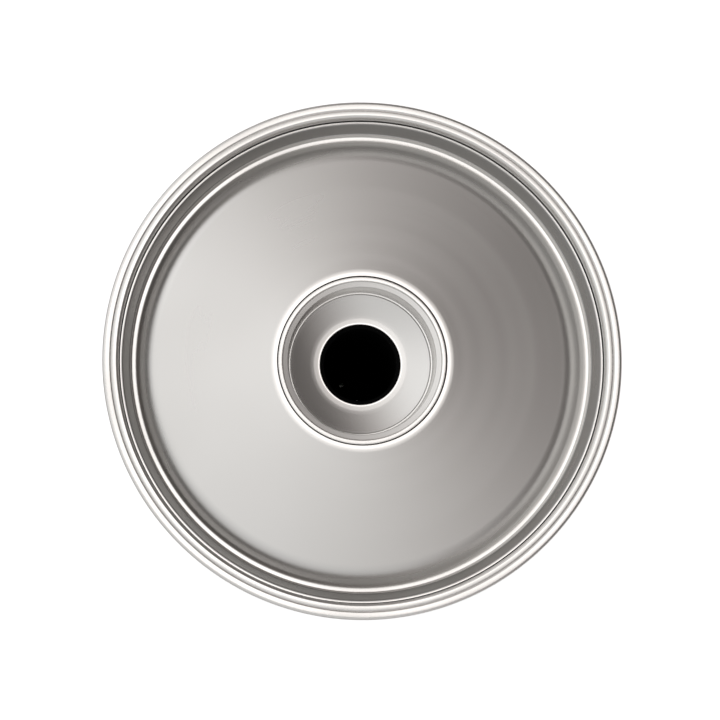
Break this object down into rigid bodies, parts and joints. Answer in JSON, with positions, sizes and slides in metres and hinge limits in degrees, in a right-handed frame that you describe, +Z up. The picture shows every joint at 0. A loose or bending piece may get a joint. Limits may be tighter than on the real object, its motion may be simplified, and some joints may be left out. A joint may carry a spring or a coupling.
{
  "type": "donut maker",
  "caption": "Hand-held steel donut maker: a round batter hopper on a rubber foot with a domed drop-in lid and a dished push button that works a sprung metering plunger.",
  "frame": {"origin": "centre of the foot's underside, on the vertical axis of the hopper", "axes": "+Z up along the axis of the hopper and the plunger; +X and +Y are free, as the body is round"},
  "size_m": [0.1, 0.1, 0.12],
  "materials": {
    "spun_steel": "spun satin",
    "turned_steel": "fine turned",
    "spring_steel": "drawn wire",
    "foot_rubber": "matte",
    "silicone": "matte",
    "white_nylon": "machined",
    "black_nylon": "moulded"
  },
  "bodies": {
    "hopper": {"outer_shell": "spun_steel", "rim_wire": "turned_steel", "foot_ring": "foot_rubber", "hopper_funnel": "spun_steel", "nozzle_cylinder": "turned_steel", "nozzle_gasket": "silicone", "nozzle_nut": "turned_steel"},
    "lid": {"lid_dome": "spun_steel", "lid_gasket": "silicone", "guide_collar": "turned_steel", "stem_bush": "white_nylon", "stem_wiper": "silicone", "spring_washer": "turned_steel", "return_spring": "spring_steel"},
    "plunger": {"push_button": "spun_steel", "plunger_stem": "turned_steel", "vent_liner": "black_nylon", "spring_seat": "turned_steel", "stop_clip": "spring_steel", "piston_clip": "spring_steel", "metering_piston": "white_nylon", "piston_seal": "silicone", "spacer_tube": "turned_steel", "former_disc": "turned_steel", "end_cap": "turned_steel"}
  },
  "joints": [
    {"name": "lid_lift", "type": "slide", "parent": "hopper", "child": "lid", "axis": [0, 0, 1], "range_m": [0, 0.115]},
    {"name": "plunger_press", "type": "slide", "parent": "lid", "child": "plunger", "axis": [0, 0, -1], "range_m": [0, 0.012], "stiffness_N_per_m": 500, "springref_m": -0.008, "deforming": ["return_spring"]}
  ]
}
